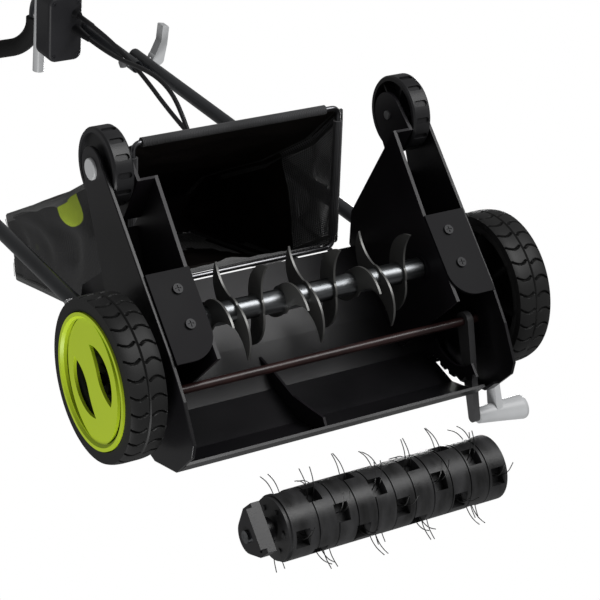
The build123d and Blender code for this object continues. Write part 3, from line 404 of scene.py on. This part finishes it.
# ---------------------------------------------------------------- cables
CABLE_D = 0.0064
BOX_START = 0.128
LAST_TURN = ((-0.1721, 0.0566), (-0.1721, 0.0286), (-0.1666, 0.0155), (-0.1566, 0.0054), (-0.1435, 0),
             (-0.1293, 0))


def turned_in(back, up, slope):
    """Last points of a cable that comes down a slope, in degrees, and turns square to the motor cover."""
    down = math.radians(slope)
    return [side_point(x, back + way * math.cos(down), up + way * math.sin(down)) for x, way in LAST_TURN]


MOTOR_STOPS = [on_handle(*stop) for stop in (
    (-0.164, BOX_START - 0.0093, -0.030), (-0.164, 0.082, -0.030), (-0.167, 0.014, -0.024),
    (-0.170, -0.064, -0.008), (-0.170, -0.146, 0.016), (-0.170, -0.230, 0.032), (-0.170, -0.312, 0.036),
    (-0.170, -0.390, 0.030), (-0.170, -0.462, 0.030),
    (-0.171, -0.532, 0.035))] + turned_in(0.060, 0.228, 22.15)
SWITCH_STOPS = [on_handle(*stop) for stop in (
    (-0.164, BOX_START - 0.0423, -0.006), (-0.164, 0.050, -0.006), (-0.160, -0.014, -0.013),
    (-0.158, -0.084, -0.026), (-0.158, -0.134, -0.030), (-0.158, -0.176, -0.022), (-0.158, -0.208, 0.002),
    (-0.158, -0.236, 0.028), (-0.158, -0.276, 0.048), (-0.159, -0.334, 0.067), (-0.161, -0.400, 0.077),
    (-0.164, -0.475, 0.080), (-0.168, -0.545, 0.078))] + turned_in(0.026, 0.244, 28.15)


def make_cable(name, stops, replaces=None):
    """A stretch of cable on a smooth line through its stops, running between two bodies of the handle."""
    route = bpy.data.curves.new(name, "CURVE")
    route.dimensions = "3D"
    spline = route.splines.new("NURBS")
    spline.points.add(len(stops) - 1)
    for point, stop in zip(spline.points, stops):
        point.co = (*stop, 1)
    spline.order_u = 3
    spline.use_endpoint_u = True
    spline.resolution_u = 12
    guide = bpy.data.objects.new(name + "_guide", route)
    scene.collection.objects.link(guide)
    line = bpy.data.meshes.new_from_object(guide)
    route.bevel_depth = CABLE_D / 2
    route.bevel_resolution = 4
    route.use_fill_caps = True
    tube = bpy.data.meshes.new_from_object(guide)
    bpy.data.objects.remove(guide)
    piece = bpy.data.objects.new(name, tube)
    scene.collection.objects.link(piece)
    tube.materials.clear()
    tube.materials.append(cable_rubber)
    for polygon in tube.polygons:
        polygon.use_smooth = True
    if replaces:
        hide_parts(replaces)
    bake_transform(piece)


def make_whole_cable(name, stops, split):
    """Two stretches that meet between two stops: one crosses the middle joint, one the lower pivot."""
    meeting = (stops[split - 1] + stops[split]) / 2
    make_cable(name + "_upper", stops[:split] + [meeting],
               replaces=name.replace("_lead", "_cable"))
    make_cable(name + "_lower", [meeting] + stops[split:])


# The cables are 797 and 798 mm long in all, along the runs and arcs of the model's own tubes.
make_whole_cable("motor_lead", MOTOR_STOPS, 5)
make_whole_cable("switch_lead", SWITCH_STOPS, 6)

# ---------------------------------------------------------------- collection bag
BAG_HALF = 0.147
FRONT_WALL = [(0.125, 0.203), (0.133, 0.232), (0.158, 0.345), (0.206, 0.416), (0.246, 0.476), (0.272, 0.499)]
REAR_WALL = [(0.249, 0.083), (0.2525, 0.165), (0.279, 0.285), (0.304, 0.362), (0.327, 0.438), (0.321, 0.474)]
BAG_ROWS = 48
BAG_ROUND = 112
CAP_RINGS = 6
CAP_FACES = CAP_RINGS * BAG_ROUND
LINING_ROW = 9
SIDE_LINING_ROW = 15
BAG_TUCK = 0.985            # how far out to the wire frame the walls lie
WEAVE_ROUND = 4 * BAG_HALF + 0.30
WEAVE_TALL = 0.40
# The bag's inside is told by the faces that look at a line this far behind the axle. Near the top the
# front wall lies behind that line, so its outer faces take the lining's finish too.
INSIDE_LINE = 0.24


def narrowing(share):
    """How much of its width the bag keeps at a share of its height."""
    return 1 - 0.10 * max(0, share - 0.8) / 0.2


def along_wall(wall, share):
    """A point part of the way along a wall's line."""
    place = share * (len(wall) - 1)
    i = min(int(place), len(wall) - 2)
    return Vector(wall[i]).lerp(Vector(wall[i + 1]), place - i)


def make_bag():
    """A lofted mesh bag.

    The wire frame holds its mouth square, and its walls belly, crease and sag behind the mouth."""
    vertices, faces, sides, lie = [], [], [], []
    for row in range(BAG_ROWS + 1):
        share = row / BAG_ROWS
        front, rear = along_wall(FRONT_WALL, share), along_wall(REAR_WALL, share)
        centre, reach = (front + rear) / 2, (rear - front) / 2
        squareness = 26 - 4 * share
        for step in range(BAG_ROUND):
            turn = math.tau * step / BAG_ROUND
            c, s = math.cos(turn), math.sin(turn)
            grow = (abs(c) ** squareness + abs(s) ** squareness) ** (-1 / squareness)
            x = BAG_HALF * BAG_TUCK * c * grow * narrowing(share)
            point = centre + reach * s * grow * BAG_TUCK
            folds = noise.noise(Vector((x * 16, point.x * 10, point.y * 22)))
            creases = abs(noise.noise(Vector((x * 34, 7 + point.x * 20, point.y * 9))))
            off_the_seams = 1 - abs(math.sin(2 * turn)) ** 4
            pull = (0.010 * folds - 0.009 * creases - 0.004) * min(1, share * 5) * off_the_seams
            normal = Vector((c, s))
            x += min(0, pull) * normal.x
            point = point + reach.normalized() * min(0, pull) * normal.y
            vertices.append(side_point(x, point.x, point.y))
    for row in range(BAG_ROWS):
        for step in range(BAG_ROUND):
            after = (step + 1) % BAG_ROUND
            faces.append((row * BAG_ROUND + step, row * BAG_ROUND + after,
                          (row + 1) * BAG_ROUND + after, (row + 1) * BAG_ROUND + step))
            left, right = step / BAG_ROUND * WEAVE_ROUND, (step + 1) / BAG_ROUND * WEAVE_ROUND
            low, high = row / BAG_ROWS * WEAVE_TALL, (row + 1) / BAG_ROWS * WEAVE_TALL
            lie += [(left, low), (right, low), (right, high), (left, high)]
            turn = math.tau * (step + 0.5) / BAG_ROUND
            if abs(math.cos(turn)) > abs(math.sin(turn)):
                sides.append(2 if math.cos(turn) > 0 else 1)
            else:
                sides.append(3 if math.sin(turn) > 0 else 0)
    top = len(vertices)
    last = BAG_ROWS * BAG_ROUND
    end = sum((vertices[last + i] for i in range(BAG_ROUND)), Vector()) / BAG_ROUND
    for ring in range(1, CAP_RINGS):
        for i in range(BAG_ROUND):
            place = vertices[last + i].lerp(end, ring / CAP_RINGS)
            vertices.append(place + Vector((0, 0.007, 0.010)) * math.sin(math.pi / 2 * ring / CAP_RINGS))
    vertices.append(end + Vector((0, 0.007, 0.010)))
    for ring in range(CAP_RINGS - 1):
        a = last + ring * BAG_ROUND if ring == 0 else top + (ring - 1) * BAG_ROUND
        b = top + ring * BAG_ROUND
        for i in range(BAG_ROUND):
            faces.append((a + i, a + (i + 1) % BAG_ROUND, b + (i + 1) % BAG_ROUND, b + i))
            sides.append(0)
    tip, a = len(vertices) - 1, top + (CAP_RINGS - 2) * BAG_ROUND
    for i in range(BAG_ROUND):
        faces.append((a + i, a + (i + 1) % BAG_ROUND, tip))
        sides.append(0)
    bag = new_object("mesh_bag", vertices, faces, [bag_wall_mesh_painted_sheen, bag_plain_mesh, bag_side_mesh, bag_cloth])
    cloth_map = bag.data.uv_layers.new(name="weave")
    for corner, loop in enumerate(bag.data.loops):
        place = vertices[loop.vertex_index]
        cloth_map.data[corner].uv = lie[corner] if corner < len(lie) else (place.x, place.y)
    for polygon, side in zip(bag.data.polygons, sides):
        polygon.material_index = side
    sag_bag(bag)
    thick = bag.modifiers.new("thickness", "SOLIDIFY")
    thick.thickness = 0.0012
    thick.offset = -1
    apply_modifiers(bag)
    for polygon in bag.data.polygons:
        inside = polygon.normal.dot(side_point(0, INSIDE_LINE, polygon.center.z) - polygon.center) > 0
        row = polygon.index % (BAG_ROWS * BAG_ROUND + CAP_FACES) // BAG_ROUND
        lining_row = LINING_ROW if polygon.material_index in (0, 3) else SIDE_LINING_ROW
        if inside and row > lining_row:
            polygon.material_index = 3
        elif inside and polygon.material_index == 2:
            polygon.material_index = 1
    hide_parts("bag_fabric")
    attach(bag, "bag")
    return bag


SAG_LIMIT = 0.008


def sag_bag(bag):
    """Lets the cloth settle a little under its own weight.

    Its mouth, its top end and its bound seams are held."""
    before = [vertex.co.copy() for vertex in bag.data.vertices]
    held = bag.vertex_groups.new(name="held")
    held.add(list(range(2 * BAG_ROUND)), 1.0, "REPLACE")
    held.add(list(range((BAG_ROWS - 1) * BAG_ROUND, len(before))), 1.0, "REPLACE")
    seams = [BAG_ROUND * corner // 8 + side for corner in (1, 3, 5, 7) for side in (-1, 0, 1)]
    held.add([row * BAG_ROUND + seam for row in range(BAG_ROWS + 1) for seam in seams], 1.0, "REPLACE")
    cloth = bag.modifiers.new("sag", "CLOTH")
    cloth.settings.vertex_group_mass = "held"
    cloth.settings.quality = 5
    cloth.settings.mass = 0.2
    cloth.settings.tension_stiffness = 12
    cloth.settings.bending_stiffness = 0.4
    cloth.settings.effector_weights.gravity = 0.4
    for step in range(1, 16):
        scene.frame_set(step)
    apply_modifiers(bag)
    for vertex, old in zip(bag.data.vertices, before):
        moved = vertex.co - old
        if moved.length > SAG_LIMIT:
            vertex.co = old + moved.normalized() * SAG_LIMIT
    scene.frame_set(1)


bag = make_bag()


def make_binding():
    """Flat bands sewn over the edges between the bag's walls and its side panels."""
    vertices, faces = [], []
    for x in (-BAG_HALF * BAG_TUCK, BAG_HALF * BAG_TUCK):
        for wall in (FRONT_WALL, REAR_WALL):
            base = len(vertices)
            inwards = -1 if x > 0 else 1
            for i in range(41):
                share = i / 40
                point = along_wall(wall, share)
                middle = (along_wall(FRONT_WALL, share) + along_wall(REAR_WALL, share)) / 2
                inner = (middle - point).normalized()
                narrow = narrowing(share)
                corner = point + inner * 0.003
                for shift, deep in ((0.010, 0.0), (0.0015, 0.0), (0.0, 0.0015), (0.0, 0.010)):
                    place = corner + inner * deep
                    vertices.append(side_point((x + inwards * (shift + 0.001)) * narrow, place.x, place.y))
            for i in range(40):
                for j in range(3):
                    a = base + 4 * i + j
                    faces.append((a, a + 1, a + 5, a + 4))
    band = new_object("bag_binding", vertices, faces, [binding_cloth])
    thick = band.modifiers.new("thickness", "SOLIDIFY")
    thick.thickness = 0.0016
    thick.offset = 0
    apply_modifiers(band)
    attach(band, "bag")


make_binding()

STITCH_PITCH = 0.006


def make_stitches():
    """A row of short raised stitches down each binding band."""
    stitches = bmesh.new()
    for x in (-BAG_HALF * BAG_TUCK, BAG_HALF * BAG_TUCK):
        outwards = 1 if x > 0 else -1
        for wall in (FRONT_WALL, REAR_WALL):
            lengths = [(Vector(b) - Vector(a)).length for a, b in zip(wall, wall[1:])]
            count = int(sum(lengths) / STITCH_PITCH)
            for i in range(1, count):
                share = i / count
                point, ahead = along_wall(wall, share), along_wall(wall, min(1, share + 0.01))
                middle = (along_wall(FRONT_WALL, share) + along_wall(REAR_WALL, share)) / 2
                inner = (middle - point).normalized()
                run = (ahead - point).normalized()
                narrow = narrowing(share)
                place = point + inner * 0.009
                turn = math.atan2(run.y, run.x)
                spot = side_point((x + outwards * 0.0012) * narrow, place.x, place.y)
                matrix = Matrix.Translation(spot) @ (
                    Matrix.Rotation(turn, 4, "X") @ Matrix.Diagonal((0.0008, 0.0034, 0.0009, 1)))
                bmesh.ops.create_icosphere(stitches, subdivisions=1, radius=0.5, matrix=matrix)
    mesh = bpy.data.meshes.new("bag_stitches")
    stitches.to_mesh(mesh)
    stitches.free()
    mesh.materials.append(thread)
    piece = bpy.data.objects.new("bag_stitches", mesh)
    scene.collection.objects.link(piece)
    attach(piece, "bag")


make_stitches()

# ---------------------------------------------------------------- switch box screws
BOX_X = -0.148
BOX_ACROSS = -0.008


def make_screw(name, place, facing, radius, body, finish):
    """A domed screw head with a cross recess, standing on a face."""
    head = bmesh.new()
    steps, rings = 32, ((1.0, 0.0), (1.0, 0.25), (0.86, 0.42), (0.55, 0.5))
    loops = []
    for share, rise in rings:
        loops.append([head.verts.new((share * radius * math.cos(math.tau * i / steps),
                                      share * radius * math.sin(math.tau * i / steps), rise * radius))
                      for i in range(steps)])
    recess = []
    for i in range(steps):
        turn = math.tau * i / steps
        arm = 0.5 if min(abs(math.sin(turn)), abs(math.cos(turn))) < 0.25 else 0.2
        reach = arm * radius
        recess.append(head.verts.new((reach * math.cos(turn), reach * math.sin(turn), 0.5 * radius)))
    floor = [head.verts.new((v.co.x * 0.9, v.co.y * 0.9, 0.15 * radius)) for v in recess]
    for a, b in zip(loops + [recess], loops[1:] + [recess, floor]):
        for i in range(steps):
            head.faces.new((a[i], a[(i + 1) % steps], b[(i + 1) % steps], b[i]))
    head.faces.new(floor)
    mesh = bpy.data.meshes.new(name)
    head.to_mesh(mesh)
    head.free()
    mesh.materials.append(finish)
    piece = bpy.data.objects.new(name, mesh)
    scene.collection.objects.link(piece)
    piece.matrix_world = Matrix.Translation(place) @ facing.to_track_quat("Z", "Y").to_matrix().to_4x4()
    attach(piece, body)


for i, (x, across) in enumerate(((-0.019, -0.040), (0.019, -0.040), (-0.019, 0.040), (0.019, 0.040))):
    make_screw(f"box_screw_{i + 1}", on_handle(BOX_X + x, BOX_START - 0.0001, BOX_ACROSS + across), -ALONG,
               0.0026, "upper_handle", dark_zinc)

# ---------------------------------------------------------------- floor, light and camera
def make_floor():
    """Pale floor that is seen from above only."""
    floor = new_object("floor", [(-6, -6, 0), (6, -6, 0), (6, 6, 0), (-6, 6, 0)], [(0, 1, 2, 3)], [],
                       smooth=False)
    floor.location.z = -0.0006
    material = bpy.data.materials.new("floor")
    material.use_nodes = True
    nodes, links = material.node_tree.nodes, material.node_tree.links
    shader = nodes["Principled BSDF"]
    shader.inputs["Base Color"].default_value = (0.88, 0.88, 0.88, 1)
    shader.inputs["Roughness"].default_value = 0.8
    clear = nodes.new("ShaderNodeBsdfTransparent")
    face = nodes.new("ShaderNodeNewGeometry")
    pick = nodes.new("ShaderNodeMixShader")
    links.new(face.outputs["Backfacing"], pick.inputs["Fac"])
    links.new(shader.outputs["BSDF"], pick.inputs[1])
    links.new(clear.outputs["BSDF"], pick.inputs[2])
    links.new(pick.outputs["Shader"], nodes["Material Output"].inputs["Surface"])
    floor.data.materials.append(material)
    floor.visible_shadow = False
    floor.visible_diffuse = False
    floor.visible_glossy = False


def make_light(name, place, aim, size, power):
    lamp = bpy.data.lights.new(name, "AREA")
    lamp.shape = "DISK"
    lamp.size = size
    lamp.energy = power
    light = bpy.data.objects.new(name, lamp)
    light.location = place
    light.rotation_euler = (Vector(aim) - Vector(place)).to_track_quat("-Z", "Y").to_euler()
    light.visible_camera = False
    scene.collection.objects.link(light)


make_floor()
AMBIENT = 0.20
world = bpy.data.worlds.new("studio")
world.use_nodes = True
backdrop = world.node_tree.nodes["Background"]
backdrop.inputs["Color"].default_value = (1, 1, 1, 1)
ray = world.node_tree.nodes.new("ShaderNodeLightPath")
brightness = world.node_tree.nodes.new("ShaderNodeMapRange")
brightness.inputs["To Min"].default_value = AMBIENT
brightness.inputs["To Max"].default_value = 1.0
world.node_tree.links.new(ray.outputs["Is Camera Ray"], brightness.inputs["Value"])
world.node_tree.links.new(brightness.outputs["Result"], backdrop.inputs["Strength"])
scene.world = world
scene.view_settings.view_transform = "Standard"
CENTRE = (0, AXLE_Y + 0.05, 0.15)
make_light("key", (1.6, AXLE_Y - 2.0, 0.4), CENTRE, 1.0, 42)
make_light("under", (-0.8, AXLE_Y + 0.6, -1.9), CENTRE, 1.4, 34)
make_light("rim", (-1.8, AXLE_Y + 0.8, 1.8), CENTRE, 1.0, 26)

# The camera looks up at the underside from the machine's front left.
camera = bpy.data.cameras.new("camera")
camera.sensor_width = 36
camera.lens = 126.95
RIGHT = Vector((-0.849, -0.3428, -0.4021)).normalized()
BACK = Vector((0.4914, -0.2326, -0.8393))
BACK = (BACK - RIGHT * BACK.dot(RIGHT)).normalized()
viewer = bpy.data.objects.new("camera", camera)
viewer.matrix_world = Matrix.Translation((1.143, AXLE_Y - 0.5064, -1.867)) @ Matrix(
    (RIGHT, BACK.cross(RIGHT), BACK)).transposed().to_4x4()
scene.collection.objects.link(viewer)
scene.camera = viewer
